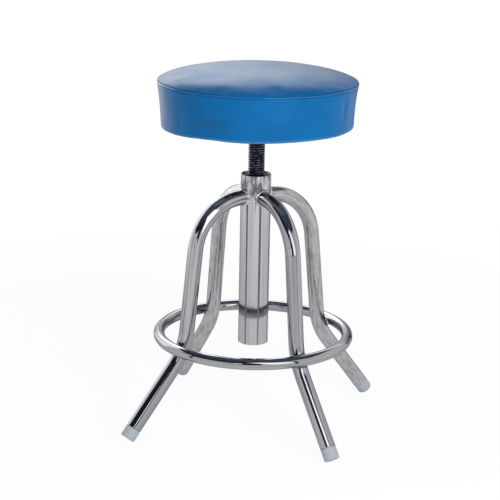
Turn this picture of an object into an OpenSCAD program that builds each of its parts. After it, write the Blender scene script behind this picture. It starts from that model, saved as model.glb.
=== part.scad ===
// Revolving stool with a screw lift: four bent tube legs on a centre tube,
// a foot ring round the legs, and a round padded seat on a threaded post.

/* [Centre tube] */
// Outside diameter of the centre tube
tube_d = 50.8; // [44:0.1:60]
// Wall of the centre tube
tube_wall = 1.6; // [1.2:0.1:2.5]
// Height of the centre tube's lower end above the floor
tube_bottom = 136; // [100:1:170]
// Height of the centre tube's top end above the floor
tube_top = 428; // [415:1:450]

/* [Legs] */
// Outside diameter of the leg tube
leg_d = 25.4; // [20:0.1:30]
// Wall of the leg tube
leg_wall = 1.2; // [0.8:0.1:2]
// Height of the tube's middle where a leg leaves the centre tube
leg_top = 390; // [350:1:400]
// Distance from the axis to the corner of the top bend
knee_out = 106.5; // [98:0.5:125]
// Radius of the top bend, to the tube's middle
knee_bend = 88; // [70:1:90]
// Distance from the axis to the corner of the lower bend
shin_out = 134; // [120:0.5:150]
// Height of the corner of the lower bend
shin_height = 142; // [125:1:160]
// Radius of the lower bend, to the tube's middle
shin_bend = 110; // [80:1:130]
// Angle of a foot from upright
foot_splay = 38.6; // [30:0.1:45]
// Leg of the weld bead round each leg's top end
hub_bead = 3; // [2:0.1:5]

/* [Foot plugs] */
// Length of a plug that shows below the tube
plug_head = 20; // [10:1:30]
// Length of a plug inside the tube
plug_shank = 18; // [10:1:30]
// Bevel round the foot of a plug
plug_bevel = 1.2; // [0.5:0.1:2.5]
// Depth that the foot of a plug is cut away to stand flat
foot_flat = 0.8; // [0.5:0.1:1.5]

/* [Foot ring] */
// Outside diameter of the ring's tube
ring_tube_d = 19; // [16:0.1:25]
// Wall of the ring's tube
ring_wall = 1.2; // [0.8:0.1:2]
// Height of the ring's middle above the floor
ring_height = 150; // [135:1:165]
// Outside diameter of each weld between ring and leg
ring_weld_d = 14; // [8:0.5:16]

/* [Screw] */
// Outside diameter of the thread
screw_d = 28; // [20:0.5:30]
// Rise of the seat for one turn
pitch = 4; // [3:0.5:5]
// Depth of the thread
thread_depth = 2; // [1.5:0.1:2.2]
// Height of the screw's lower end above the floor, at rest
screw_bottom = 282; // [270:1:300]
// Length of the screw's plain lower end, below the thread
thread_lead = 2; // [1.5:0.1:3]
// Radial room between the screw and its nut
thread_room = 0.3; // [0.25:0.01:0.4]
// Width of the nut across its flats
nut_flats = 41; // [36:0.1:41]
// Height of the nut
nut_height = 24; // [16:1:30]
// Depth of the nut's top face below the tube's top end
nut_sunk = 1; // [0.5:0.5:6]

/* [Stop and guide] */
// Height of the guide bush
bush_height = 24.5; // [15:0.5:35]
// Outside diameter of the stop washer
stop_washer_d = 44; // [38:0.5:46]
// Thickness of the stop washer
stop_washer_t = 3; // [2:0.5:5]
// Diameter of the stop bolt's shoulder
shoulder_d = 16; // [14:0.5:20]
// Diameter of the stop bolt's thread
stop_bolt_d = 12; // [10:0.5:12]
// Length of the stop bolt inside the screw
stop_bolt_reach = 16; // [10:1:25]

/* [Seat carrier] */
// Outside diameter of the boss that holds the screw's top
boss_d = 40; // [34:1:50]
// Length of the boss below its plate
boss_length = 17; // [10:1:25]
// Diameter of the plate below the seat board
plate_d = 130; // [110:1:160]
// Thickness of the plate below the seat board
plate_t = 4; // [3:0.5:6]
// Diameter of the circle of seat bolts
bolt_circle = 100; // [80:1:110]
// Number of seat bolts
bolt_count = 4; // [3:1:6]
// Diameter of a seat bolt
bolt_d = 8; // [6:0.5:8]
// Length of a seat bolt below its head
bolt_length = 20; // [18:1:22]

/* [Seat] */
// Radius of the seat at its seam
seat_r = 164.5; // [150:0.5:180]
// Radius of the seat at its lower edge
rim_r = 158; // [140:0.5:164]
// Height of the seat's lower edge above the floor, at rest
seat_bottom = 509; // [500:1:520]
// Height of the seat's side, from its lower edge to its seam
side_height = 73; // [60:1:90]
// Rise of the seat's top above its seam
crown = 25; // [15:0.5:35]
// Depth that the seat's side is drawn in at its middle
side_draw = 0.8; // [0:0.1:2]
// Thickness of the cover
cover_t = 1.2; // [0.8:0.1:2]
// Width of the cover turned under the board
flap_width = 28; // [20:1:34]
// Thickness of the seat board
board_t = 16; // [15:0.5:20]
// Diameter of the welt in the seam
welt_d = 2.4; // [2:0.1:4]
// Number of staples in the cover
staple_count = 32; // [16:1:48]

/* [Hidden] */

$fn = 72;

// Room between two faces that a weld or a screw holds together
seated = 0.1;
// Room between a running piece and what it turns or slides in
running = 0.1;
// Room round a piece that stands clear of its neighbour
clear = 0.3;
// How far a cutting shape runs past what it cuts
past = 1;
// How far a straight length of tube reaches into a bend, and its step there
lap = 0.4;
bend_step = 0.06;

tube_r = tube_d / 2;
bore_r = tube_r - tube_wall;
leg_r = leg_d / 2;
leg_bore_r = leg_r - leg_wall;
ring_tube_r = ring_tube_d / 2;
screw_r = screw_d / 2;
root_r = screw_r - thread_depth;

// The leg's path lies in one upright plane. A point there is its distance out
// and its height.
leg_angles = [-45, 45, 135, 225];
lean = atan((shin_out - knee_out) / (leg_top - shin_height));
down_leg = [sin(lean), -cos(lean)];
down_foot = [sin(foot_splay), -cos(foot_splay)];
knee_run = knee_bend * tan((90 - lean) / 2);
shin_run = shin_bend * tan((foot_splay - lean) / 2);
knee = [knee_out, leg_top];
shin = [shin_out, shin_height];
knee_start = knee - [knee_run, 0];
knee_end = knee + knee_run * down_leg;
shin_start = shin - shin_run * down_leg;
shin_end = shin + shin_run * down_foot;
knee_centre = knee_start - [0, knee_bend];
shin_centre = shin_start + shin_bend * [cos(lean), sin(lean)];
foot_height = (leg_r - plug_bevel) * sin(foot_splay) - foot_flat;
foot_end = shin + (shin_height - foot_height) / cos(foot_splay) * down_foot;
tube_end = foot_end - plug_head * down_foot;

// The ring rests against the outside of each lower bend.
ring_drop = shin_centre[1] - ring_height;
ring_reach = shin_bend - leg_r - ring_tube_r - seated;
ring_r = shin_centre[0] - sqrt(pow(ring_reach, 2) - pow(ring_drop, 2));
ring_slope = atan2(ring_drop, shin_centre[0] - ring_r);

// One turn of the thread is a crest, a flank, a root and a flank, equally wide.
thread_steps = 18;
thread_corners = 4;
thread_fade = 1;
// Share of the radial room that the nut's thread also has along the axis
flank_room = 0.8;
screw_turns = floor((seat_bottom - boss_length - screw_bottom - 2 * thread_lead) / pitch) - 1;
thread_start = screw_bottom + thread_lead;
thread_end = thread_start + pitch * (screw_turns + 1) + thread_lead;
nut_top = tube_top - nut_sunk;
nut_bottom = nut_top - nut_height;
nut_corner_r = nut_flats / 2 / cos(30);
// Turns of the cutting thread past each face of the nut
nut_turns_past = 2;

board_bottom = seat_bottom + cover_t + clear;
board_top = board_bottom + board_t;
plate_top = board_bottom - seated;
plate_bottom = plate_top - plate_t;
boss_bottom = plate_bottom - boss_length;
bolt_head_h = 5.3;
bolt_head_r = 7.5;
washer_t = 1.6;
washer_r = 8.5;
tee_r = 11;
tee_t = 1.5;
tee_barrel_r = 5;
tee_barrel_h = 10;
bolt_seat = plate_bottom - washer_t - 2 * seated;

stop_washer_bottom = screw_bottom - seated - stop_washer_t;
bush_top = stop_washer_bottom - clear;
bush_bottom = bush_top - bush_height;
stop_head_top = bush_bottom - clear;
stop_head_h = 8;
stop_head_r = 12;

seam = seat_bottom + side_height;
hem_r = 2.5;
staple = [10, 1.2, 0.5];
board_bevel = 2;

// Height of the seat's top at a distance from the axis, for a skin that lies
// a depth below the surface
crown_flatness = 2.58;
crown_roundness = 0.76;
crown_edge = seam + welt_d / 2 + seated;
function dome(r, depth = 0) =
    let (across = 1 - pow(min(1, r / (seat_r - depth)), crown_flatness))
    crown_edge + (seam + crown - crown_edge - depth) * pow(across, crown_roundness);

// Points across the top from the axis out to a distance, closer together there
crown_steps = 18;
function crown_line(reach, depth) =
    [for (k = [0 : crown_steps])
        let (r = reach * sin(90 * k / crown_steps))
        [r, dome(r, depth)]];
function backwards(line) = [for (k = [len(line) - 1 : -1 : 0]) line[k]];

// Distance of the seat's side from the axis at a height, drawn in at the middle
function side(z, depth = 0) =
    let (t = (z - seat_bottom) / side_height)
    rim_r + (seat_r - rim_r) * t - side_draw * sin(180 * t) - depth;

// Points up the side between two heights
side_steps = 6;
function side_line(low, high, depth) =
    [for (k = [0 : side_steps])
        let (z = low + (high - low) * k / side_steps)
        [side(z, depth), z]];

// A rod between two points of the leg's plane
module rod(from, to, r) {
    run = to - from;
    translate([from[0], 0, from[1]])
        rotate([0, atan2(run[0], run[1]), 0])
            cylinder(h = norm(run), r = r);
}

// A bend in the leg's plane, from one angle to another above level
module bend(centre, bend_r, from, to, r) {
    translate([centre[0], 0, centre[1]])
        rotate([90, 0, 0])
            rotate([0, 0, from])
                rotate_extrude(angle = to - from)
                    translate([bend_r, 0])
                        circle(r = r);
}

// The whole leg from the axis to the tube's lower end, or a little further. A
// straight length is a hair thinner than the bends that it reaches into.
module leg_run(r, extra) {
    rod([-extra, leg_top], knee_start + [lap, 0], r - bend_step);
    bend(knee_centre, knee_bend, lean, 90, r);
    rod(knee_end - lap * down_leg, shin_start + lap * down_leg, r - bend_step);
    bend(shin_centre, shin_bend, 180 + lean, 180 + foot_splay, r);
    rod(shin_end - lap * down_foot, tube_end + extra * down_foot, r - bend_step);
}

// A cutter round a leg's straight top end, with a little room
module leg_top_cutter() {
    rod([0, leg_top], [tube_d, leg_top], leg_r + seated / 2);
}

// A cutter round a leg's lower bend, with a little room
module shin_cutter() {
    bend(
        shin_centre, shin_bend, 180 + lean - past, 180 + foot_splay + past,
        leg_r + seated / 4
    );
}

module leg(angle) {
    color("silver")
        rotate([0, 0, angle])
            difference() {
                leg_run(leg_r, 0);
                leg_run(leg_bore_r, past);
                translate([0, 0, leg_top - leg_d])
                    cylinder(h = 2 * leg_d, r = tube_r + seated);
            }
}

module foot_plug(angle) {
    color("lightsteelblue")
        rotate([0, 0, angle])
            difference() {
                translate([foot_end[0], 0, foot_end[1]])
                    rotate([0, 180 - foot_splay, 0])
                        plug_body();
                translate([foot_end[0] - leg_d, -leg_d, -leg_d])
                    cube([2 * leg_d, 2 * leg_d, leg_d]);
            }
}

// The plug points down from its foot at the origin, with its body below.
module plug_body() {
    bottom = -plug_bevel;
    rotate_extrude()
        polygon([
            [0, 0],
            [leg_r - plug_bevel, 0],
            [leg_r, bottom],
            [leg_r, -plug_head + seated],
            [leg_bore_r - running, -plug_head + seated],
            [leg_bore_r - running, -plug_head - plug_shank + plug_bevel],
            [leg_bore_r - running - plug_bevel, -plug_head - plug_shank],
            [0, -plug_head - plug_shank]
        ]);
}

module centre_tube() {
    color("silver")
        translate([0, 0, tube_bottom])
            difference() {
                cylinder(h = tube_top - tube_bottom, r = tube_r);
                translate([0, 0, -past])
                    cylinder(h = tube_top - tube_bottom + 2 * past, r = bore_r);
            }
}

// A bead round each leg where it meets the centre tube
module hub_welds() {
    color("gainsboro")
        for (angle = leg_angles)
            rotate([0, 0, angle])
                difference() {
                    intersection() {
                        translate([0, 0, leg_top - leg_d])
                            cylinder(h = 2 * leg_d, r = tube_r + hub_bead);
                        rod([0, leg_top], [tube_d, leg_top], leg_r + hub_bead);
                    }
                    translate([0, 0, leg_top - leg_d])
                        cylinder(h = 2 * leg_d, r = tube_r + seated / 2);
                    leg_top_cutter();
                }
}

module foot_ring() {
    color("silver")
        translate([0, 0, ring_height])
            rotate_extrude()
                translate([ring_r, 0])
                    difference() {
                        circle(r = ring_tube_r);
                        circle(r = ring_tube_r - ring_wall);
                    }
}

// A weld round each place where the ring touches a leg
module ring_welds() {
    $fn = 240;
    color("gainsboro")
        for (angle = leg_angles)
            rotate([0, 0, angle])
                difference() {
                    translate([ring_r, 0, ring_height])
                        rotate([0, 270 - ring_slope, 0])
                            difference() {
                                cylinder(h = ring_tube_r + leg_r, r = ring_weld_d / 2);
                                translate([0, 0, -past])
                                    cylinder(h = ring_tube_d + leg_d, r = ring_weld_d / 4);
                            }
                    translate([0, 0, ring_height])
                        rotate_extrude()
                            translate([ring_r, 0])
                                circle(r = ring_tube_r + seated / 4);
                    shin_cutter();
                }
}

// A rod with a thread that fades into its core at both ends. Each turn has
// thread_corners edges, and room swells the thread on every side.
module thread(start, turns, core_r, outer_r, room, lead) {
    last = turns * thread_steps;
    ease = room * flank_room;
    quarter = pitch / thread_corners;
    fade_steps = thread_fade * thread_steps;
    rise = [-ease, quarter - ease, 2 * quarter + ease, 3 * quarter + ease];
    edge_at = function (k, j)
        let (grown = max(0, min(1, k / fade_steps, (last - k) / fade_steps)))
        let (r = core_r + room + (j == 1 || j == 2 ? (outer_r - core_r) * grown : 0))
        let (turn = 360 * k / thread_steps)
        [r * cos(turn), r * sin(turn), start + rise[j] + pitch * k / thread_steps];
    ring_at = function (k, z)
        let (turn = 360 * k / thread_steps)
        [(core_r + room) * cos(turn), (core_r + room) * sin(turn), z];
    helix = [for (k = [0 : last + thread_steps]) edge_at(k, 0)];
    edges = [for (j = [1 : thread_corners - 1]) for (k = [0 : last]) edge_at(k, j)];
    foot_ring_at = len(helix) + len(edges);
    head_ring_at = foot_ring_at + thread_steps;
    foot_z = start - lead;
    head_z = start + pitch * (turns + 1) + lead;
    rings = [
        for (k = [0 : thread_steps - 1]) ring_at(k, foot_z),
        for (k = [0 : thread_steps - 1]) ring_at(k, head_z)
    ];
    at = function (k, j)
        j == 0 ? k
        : j == thread_corners ? k + thread_steps
        : len(helix) + (j - 1) * (last + 1) + k;
    foot = function (k) foot_ring_at + k % thread_steps;
    head = function (k) head_ring_at + k % thread_steps;
    side_faces = [
        for (k = [0 : last - 1]) for (j = [0 : thread_corners - 1])
            each [
                [at(k, j), at(k, j + 1), at(k + 1, j + 1)],
                [at(k, j), at(k + 1, j + 1), at(k + 1, j)]
            ]
    ];
    // The plain lead below the thread, whose last side also meets the first
    // edge of each flank
    before = thread_steps - 1;
    foot_faces = [
        for (k = [0 : before - 1])
            each [[foot(k), at(k, 0), at(k + 1, 0)], [foot(k), at(k + 1, 0), foot(k + 1)]],
        [foot(before), at(before, 0), foot(0)],
        [at(before, 0), at(0, 0), foot(0)],
        for (j = [0 : thread_corners - 1])
            [at(before, 0), at(0, j + 1), at(0, j)]
    ];
    head_faces = [
        for (j = [0 : thread_corners - 1])
            [at(last + 1, 0), at(last, j), at(last, j + 1)],
        [at(last + 1, 0), at(last, thread_corners), head(0)],
        [head(0), head(1), at(last + 1, 0)],
        for (k = [1 : thread_steps - 1])
            each [
                [at(last + k, 0), head(k), head(k + 1)],
                [at(last + k, 0), head(k + 1), at(last + k + 1, 0)]
            ]
    ];
    caps = [
        [for (k = [0 : thread_steps - 1]) foot(k)],
        [for (k = [thread_steps - 1 : -1 : 0]) head(k)]
    ];
    polyhedron(concat(helix, edges, rings), concat(side_faces, foot_faces, head_faces, caps));
}

module screw() {
    color("darkslategray")
        difference() {
            union() {
                thread(thread_start, screw_turns, root_r, screw_r, 0, thread_lead);
                translate([0, 0, thread_end - thread_lead / 2])
                    cylinder(h = plate_top - thread_end + thread_lead / 2, r = screw_r);
            }
            translate([0, 0, screw_bottom - past])
                cylinder(h = stop_bolt_reach + 2 * past, r = stop_bolt_d / 2 + seated);
        }
}

module screw_nut() {
    first_turn = floor((nut_bottom - thread_start) / pitch) - nut_turns_past;
    last_turn = ceil((nut_top - thread_start) / pitch) + nut_turns_past;
    color("gray")
        difference() {
            translate([0, 0, nut_bottom])
                cylinder(h = nut_height, r = nut_corner_r, $fn = 6);
            thread(
                thread_start + pitch * first_turn, last_turn - first_turn,
                root_r, screw_r, thread_room, thread_lead
            );
        }
}

// Tack welds between every other flat of the nut and the tube
module nut_welds() {
    weld_r = 4.5;
    weld_h = 2.5;
    color("gainsboro")
        for (angle = [30 : 120 : 270])
            rotate([0, 0, angle])
                difference() {
                    intersection() {
                        translate([0, 0, nut_top - weld_h])
                            cylinder(h = weld_h, r = bore_r - seated / 2);
                        translate([bore_r, 0, nut_top - weld_h])
                            cylinder(h = weld_h, r = weld_r);
                    }
                    translate([0, -tube_r, nut_bottom])
                        cube([nut_flats / 2 + seated / 2, tube_d, nut_height + past]);
                }
}

module guide_bush() {
    color("ivory")
        translate([0, 0, bush_bottom])
            difference() {
                cylinder(h = bush_height, r = bore_r - clear);
                translate([0, 0, -past])
                    cylinder(h = bush_height + 2 * past, r = shoulder_d / 2 + running);
            }
}

module stop_washer() {
    color("gray")
        translate([0, 0, stop_washer_bottom])
            difference() {
                cylinder(h = stop_washer_t, r = stop_washer_d / 2);
                translate([0, 0, -past])
                    cylinder(h = stop_washer_t + 2 * past, r = stop_bolt_d / 2 + seated);
            }
}

// A shoulder bolt from below, through the bush and the washer into the screw
module stop_bolt() {
    color("gray") {
        translate([0, 0, stop_head_top - stop_head_h])
            cylinder(h = stop_head_h, r = stop_head_r, $fn = 6);
        translate([0, 0, stop_head_top])
            cylinder(h = stop_washer_bottom - seated - stop_head_top, r = shoulder_d / 2);
        translate([0, 0, stop_washer_bottom - seated])
            cylinder(h = stop_washer_t + 2 * seated + stop_bolt_reach, r = stop_bolt_d / 2);
    }
}

module at_bolts() {
    for (k = [0 : bolt_count - 1])
        rotate([0, 0, 360 * k / bolt_count])
            translate([bolt_circle / 2, 0, 0])
                children();
}

// The boss and the plate that are welded to the screw's top
module seat_flange() {
    color("dimgray")
        difference() {
            union() {
                translate([0, 0, boss_bottom])
                    cylinder(h = boss_length + plate_t, r = boss_d / 2);
                translate([0, 0, plate_bottom])
                    cylinder(h = plate_t, r = plate_d / 2);
            }
            translate([0, 0, boss_bottom - past])
                cylinder(h = boss_length + plate_t + 2 * past, r = screw_r + seated);
            at_bolts()
                translate([0, 0, plate_bottom - past])
                    cylinder(h = plate_t + 2 * past, r = bolt_d / 2 + clear);
        }
}

module bolt_washers() {
    color("silver")
        at_bolts()
            translate([0, 0, plate_bottom - washer_t - seated])
                difference() {
                    cylinder(h = washer_t, r = washer_r);
                    translate([0, 0, -past])
                        cylinder(h = washer_t + 2 * past, r = bolt_d / 2 + clear);
                }
}

module seat_bolts() {
    color("silver")
        at_bolts()
            translate([0, 0, bolt_seat - bolt_head_h]) {
                cylinder(h = bolt_head_h, r = bolt_head_r, $fn = 6);
                translate([0, 0, bolt_head_h])
                    cylinder(h = bolt_length, r = bolt_d / 2);
            }
}

// Nuts let into the board from above, with a flange that lies on it
module tee_nuts() {
    color("gray")
        at_bolts()
            translate([0, 0, board_top + seated - tee_barrel_h])
                difference() {
                    union() {
                        cylinder(h = tee_barrel_h + tee_t, r = tee_barrel_r);
                        translate([0, 0, tee_barrel_h])
                            cylinder(h = tee_t, r = tee_r);
                    }
                    translate([0, 0, -past])
                        cylinder(h = tee_barrel_h + tee_t + 2 * past, r = bolt_d / 2 + seated);
                }
}

// The board fits inside the cover at both its faces, whichever way the side leans.
module seat_board() {
    board_r = min(side(board_bottom, cover_t), side(board_top, cover_t)) - side_draw;
    color("burlywood")
        difference() {
            rotate_extrude()
                polygon([
                    [0, board_bottom],
                    [board_r - board_bevel, board_bottom],
                    [board_r, board_bottom + board_bevel],
                    [board_r, board_top],
                    [0, board_top]
                ]);
            at_bolts()
                translate([0, 0, board_bottom - past])
                    cylinder(h = board_t + 2 * past, r = tee_barrel_r + seated);
        }
}

module seat_foam() {
    depth = cover_t + clear;
    foot = board_top + clear;
    color("khaki")
        difference() {
            rotate_extrude()
                polygon(concat(
                    [[0, foot]],
                    side_line(foot, seam - welt_d, depth + welt_d / 2),
                    backwards(crown_line(seat_r - depth - welt_d, depth))
                ));
            at_bolts()
                translate([0, 0, foot - past])
                    cylinder(h = past + seated + tee_t, r = tee_r + clear);
        }
}

// The side of the cover, with its lower edge turned under the board
module cover_band() {
    top = seam - welt_d / 2 - seated;
    low = seat_bottom + hem_r;
    hem = [for (a = [15 : 15 : 90])
        [side(low) - hem_r * (1 - cos(a)), low - hem_r * sin(a)]];
    flap_r = rim_r - flap_width;
    inner = [side(low, cover_t), low];
    color("steelblue")
        rotate_extrude()
            polygon(concat(
                [[flap_r, seat_bottom]],
                backwards(hem),
                side_line(low, top, 0),
                side_line(top, low, cover_t),
                [[inner[0] - hem_r + cover_t, seat_bottom + cover_t]],
                [[flap_r, seat_bottom + cover_t]]
            ));
}

module seam_welt() {
    color("steelblue")
        translate([0, 0, seam])
            rotate_extrude()
                translate([seat_r - welt_d / 2, 0])
                    circle(r = welt_d / 2);
}

module cover_top() {
    color("steelblue")
        rotate_extrude()
            polygon(concat(
                crown_line(seat_r, 0),
                backwards(crown_line(seat_r - cover_t, cover_t))
            ));
}

// Staples that hold the turned-under edge to the board
module cover_staples() {
    staple_r = rim_r - flap_width / 2;
    color("silver")
        for (k = [0 : staple_count - 1])
            rotate([0, 0, 360 * (k + 0.5) / staple_count])
                translate([staple_r - staple[1] / 2, -staple[0] / 2, seat_bottom - seated - staple[2]])
                    cube([staple[1], staple[0], staple[2]]);
}

centre_tube();
leg(leg_angles[0]);  // leg_front_right
leg(leg_angles[1]);  // leg_rear_right
leg(leg_angles[2]);  // leg_rear_left
leg(leg_angles[3]);  // leg_front_left
hub_welds();
foot_plug(leg_angles[0]);  // foot_plug_front_right
foot_plug(leg_angles[1]);  // foot_plug_rear_right
foot_plug(leg_angles[2]);  // foot_plug_rear_left
foot_plug(leg_angles[3]);  // foot_plug_front_left
foot_ring();
ring_welds();
screw_nut();
nut_welds();
guide_bush();
screw();
stop_washer();
stop_bolt();
seat_flange();
bolt_washers();
seat_bolts();
tee_nuts();
seat_board();
seat_foam();
cover_band();
seam_welt();
cover_top();
cover_staples();
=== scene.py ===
import math
import random

import bmesh
import bpy
from mathutils import Matrix, Vector, noise


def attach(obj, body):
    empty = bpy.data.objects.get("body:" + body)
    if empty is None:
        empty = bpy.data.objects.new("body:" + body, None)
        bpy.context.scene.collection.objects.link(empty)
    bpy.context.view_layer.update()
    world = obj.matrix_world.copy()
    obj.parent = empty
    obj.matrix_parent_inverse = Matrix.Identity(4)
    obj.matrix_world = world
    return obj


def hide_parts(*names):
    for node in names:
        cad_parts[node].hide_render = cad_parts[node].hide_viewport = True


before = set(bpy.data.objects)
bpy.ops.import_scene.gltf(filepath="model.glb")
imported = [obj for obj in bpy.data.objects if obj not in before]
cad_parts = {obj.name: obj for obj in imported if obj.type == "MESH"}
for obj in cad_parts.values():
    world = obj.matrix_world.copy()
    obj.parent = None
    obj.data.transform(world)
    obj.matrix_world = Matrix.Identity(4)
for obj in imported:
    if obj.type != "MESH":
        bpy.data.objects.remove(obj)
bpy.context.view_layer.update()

millimetre = 0.001


# Camera. The photograph was taken from two and a half metres away and a metre
# up, a little to the stool's right, with a long lens that leaned very slightly.
camera_place = Vector((0.5381, -2.4733, 0.9958))
camera_heading = math.radians(12.451)
camera_tilt = math.radians(74.547)
camera_lean = math.radians(1.095)
camera_lens = bpy.data.cameras.new("camera")
camera_lens.sensor_width = 36
camera_lens.lens = 112.62
camera = bpy.data.objects.new("camera", camera_lens)
camera.matrix_world = (
    Matrix.Translation(camera_place)
    @ Matrix.Rotation(camera_heading, 4, "Z")
    @ Matrix.Rotation(camera_tilt, 4, "X")
    @ Matrix.Rotation(camera_lean, 4, "Z")
)
bpy.context.scene.collection.objects.link(camera)
bpy.context.scene.camera = camera
bpy.context.scene.view_settings.view_transform = "Standard"


# Studio surroundings. White all round where it is seen, a little greyer where
# it is mirrored, and a softer white where it only lights the stool.
white = (1, 1, 1, 1)
seen_white = 1.0
mirrored_white = 0.9
fill_light = 0.34


def fill_sockets(tree, node, values):
    """Puts a value on each named socket of a node, or links it to where the value comes from."""
    for socket, value in values.items():
        if isinstance(value, bpy.types.NodeSocket):
            tree.links.new(value, node.inputs[socket])
        else:
            node.inputs[socket].default_value = value


def add_node(tree, kind, values=None, **settings):
    """A shader node with its settings and the values on its sockets."""
    node = tree.nodes.new("ShaderNode" + kind)
    for name, value in settings.items():
        setattr(node, name, value)
    fill_sockets(tree, node, values or {})
    return node


def combined(tree, operation, first, second):
    """Two values made into one: their product, their quotient or the larger one."""
    return add_node(tree, "Math", {0: first, 1: second}, operation=operation).outputs[0]


def mixed(tree, share, first, second, kind="FLOAT"):
    """A value that passes from the first to the second by a share."""
    values = {"Factor": share, "A": first, "B": second}
    return add_node(tree, "Mix", values, data_type=kind).outputs["Result"]


def by_ray(tree, lighting, mirrored, seen):
    """A strength for rays that carry light, one for rays off a mirror, one for the camera."""
    rays = add_node(tree, "LightPath").outputs
    off_mirror = combined(tree, "MAXIMUM", rays["Is Glossy Ray"], rays["Is Transmission Ray"])
    lit_or_mirrored = mixed(tree, off_mirror, lighting, mirrored)
    return mixed(tree, rays["Is Camera Ray"], lit_or_mirrored, seen)


studio = bpy.data.worlds.new("studio")
studio.use_nodes = True
bpy.context.scene.world = studio
air = studio.node_tree
air_light = by_ray(air, fill_light, mirrored_white, seen_white)
fill_sockets(air, air.nodes["Background"], {"Color": white, "Strength": air_light})


# Floor. Matt white paper that takes the stool's shadow and brightens into the
# white background further out.
floor_size = 24
floor_paper = (0.92, 0.92, 0.92, 1)
floor_glow_seen = 0.86
floor_glow_mirrored = 0.52
floor_glow_strength = 1.05
floor_fades_from = 0.7
floor_fades_to = 2.2


def new_finish(name):
    """A new finish and the tree of nodes that makes it."""
    finish = bpy.data.materials.new(name)
    finish.use_nodes = True
    return finish, finish.node_tree


def own_place(tree):
    """Where a point lies, in the measures of its own piece."""
    return add_node(tree, "TexCoord").outputs["Object"]


def from_axis(tree):
    """How far a point lies from the upright axis."""
    level = add_node(tree, "Mapping", {"Vector": own_place(tree), "Scale": (1, 1, 0)})
    away = add_node(tree, "VectorMath", {0: level.outputs[0]}, operation="LENGTH")
    return away.outputs["Value"]


def spread(tree, value, start=0.0, end=1.0, low=0.0, high=1.0, **settings):
    """A value that goes from low to high while the given one goes from start to end."""
    values = {"Value": value, "From Min": start, "From Max": end, "To Min": low, "To Max": high}
    return add_node(tree, "MapRange", values, **settings).outputs["Result"]


floor_finish, paper = new_finish("white_floor_paper")
paper.nodes.clear()
paper_far = spread(
    paper, from_axis(paper), floor_fades_from, floor_fades_to, interpolation_type="SMOOTHSTEP"
)
paper_glow = by_ray(paper, 0.0, floor_glow_mirrored, floor_glow_seen)
paper_share = mixed(paper, paper_far, paper_glow, by_ray(paper, 0.0, 1.0, 1.0))
paper_matt = add_node(paper, "BsdfDiffuse", {"Color": floor_paper})
paper_light = add_node(paper, "Emission", {"Color": white, "Strength": floor_glow_strength})
paper_both = add_node(
    paper, "MixShader", {0: paper_share, 1: paper_matt.outputs[0], 2: paper_light.outputs[0]}
)
add_node(paper, "OutputMaterial", {"Surface": paper_both.outputs[0]})

floor_work = bmesh.new()
bmesh.ops.create_grid(floor_work, x_segments=4, y_segments=4, size=floor_size / 2)
floor_mesh = bpy.data.meshes.new("floor")
floor_work.to_mesh(floor_mesh)
floor_work.free()
floor_mesh.materials.append(floor_finish)
floor = bpy.data.objects.new("floor", floor_mesh)
bpy.context.scene.collection.objects.link(floor)


# Lamps. A large soft lamp low on the right of the camera and a weaker one on
# the left, with a third from behind for the edges. The cards stand for them
# where they are mirrored.
def soft_lamp(name, place, aim, width, height, power):
    """A soft lamp that is turned to its aim and isn't mirrored."""
    lamp = bpy.data.lights.new(name, "AREA")
    lamp.shape = "RECTANGLE"
    lamp.size = width
    lamp.size_y = height
    lamp.energy = power
    stand = bpy.data.objects.new(name, lamp)
    stand.visible_glossy = False
    stand.location = place
    stand.rotation_euler = (Vector(aim) - Vector(place)).to_track_quat("-Z", "Y").to_euler()
    bpy.context.scene.collection.objects.link(stand)


# Each lamp's place, its aim, its width and height, and its power in watts
soft_lamp("lamp_right", (1.7, -2.1, 1.15), (0, 0, 0.45), 1.2, 1.2, 47)
soft_lamp("lamp_left", (-2.0, -1.7, 1.25), (0, 0, 0.45), 1.2, 1.2, 11)
soft_lamp("lamp_behind", (0.3, 2.6, 2.0), (0, 0, 0.5), 1.6, 1.0, 10)


# Cards. Large cards hang round the set, out of the picture, and the polished
# tubes mirror them: a brightly lit backdrop, a dark ceiling, a lamp's white
# screen and thin black strips. They light nothing.
ceiling_paint = (0.095, 0.130, 0.175, 1)
ceiling_edge_paint = (0.034, 0.044, 0.058, 1)
ceiling_darkens_from = 0.9
ceiling_darkens_to = 1.7
strip_paint = (0.015, 0.018, 0.024, 1)
backdrop_right = 1.5
backdrop_left = 6.2
backdrop_right_end = 0.35
backdrop_left_end = -1.0
backdrop_top = 4.0
# How strongly the backdrop is lit at each height
backdrop_shares = [
    (0.45, 0.36), (0.95, 0.52), (1.30, 0.92), (1.60, 1.40), (2.00, 1.40), (2.45, 1.00),
    (3.00, 0.50), (3.60, 0.20),
]
left_backdrop_strength = 2.0
screen_strength = 2.8


def card_finish(name, colour, strength):
    """Paint or lit paper that shows one even tone."""
    finish, tree = new_finish(name)
    tree.nodes.clear()
    tone = add_node(tree, "Emission", {"Color": colour, "Strength": strength})
    add_node(tree, "OutputMaterial", {"Surface": tone.outputs[0]})
    return finish


def blend(tree, share, first, second):
    """A colour that passes from the first to the second by a share."""
    return mixed(tree, share, first, second, "RGBA")


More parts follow.
